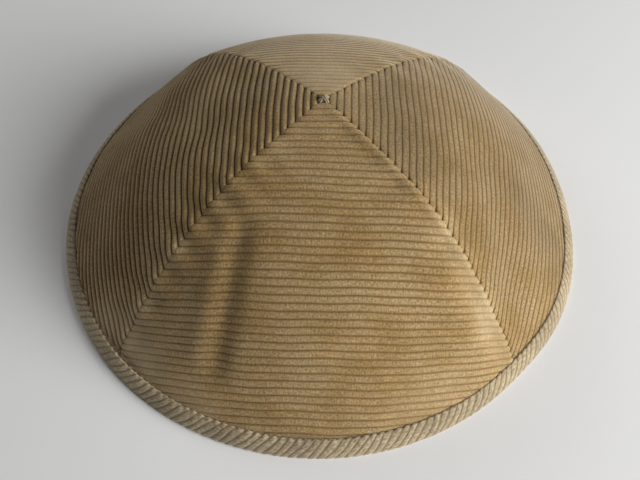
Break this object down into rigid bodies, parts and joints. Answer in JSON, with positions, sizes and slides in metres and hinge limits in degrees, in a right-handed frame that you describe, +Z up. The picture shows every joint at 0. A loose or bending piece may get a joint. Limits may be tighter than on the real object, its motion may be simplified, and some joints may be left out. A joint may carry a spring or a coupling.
{
  "type": "corduroy kippah",
  "caption": "Shallow round corduroy skullcap sewn from wedge-shaped gores, whose ribs run in squares round the apex, with a rim bound in bias-cut tape.",
  "frame": {"origin": "middle of the rim at the level of its flat foot, where the kippah lies on a surface", "axes": "+Z up through the apex, -Y the front gore, +X the right gore"},
  "size_m": [0.1841, 0.1843, 0.0564],
  "materials": {
    "corduroy": "matt cut-pile corduroy, light brown",
    "binding": "matt bias-cut corduroy, greyish light brown"
  },
  "bodies": {
    "root": {"panel_front": "corduroy", "panel_right": "corduroy", "panel_back": "corduroy", "panel_left": "corduroy", "rim_binding": "binding"}
  },
  "joints": []
}
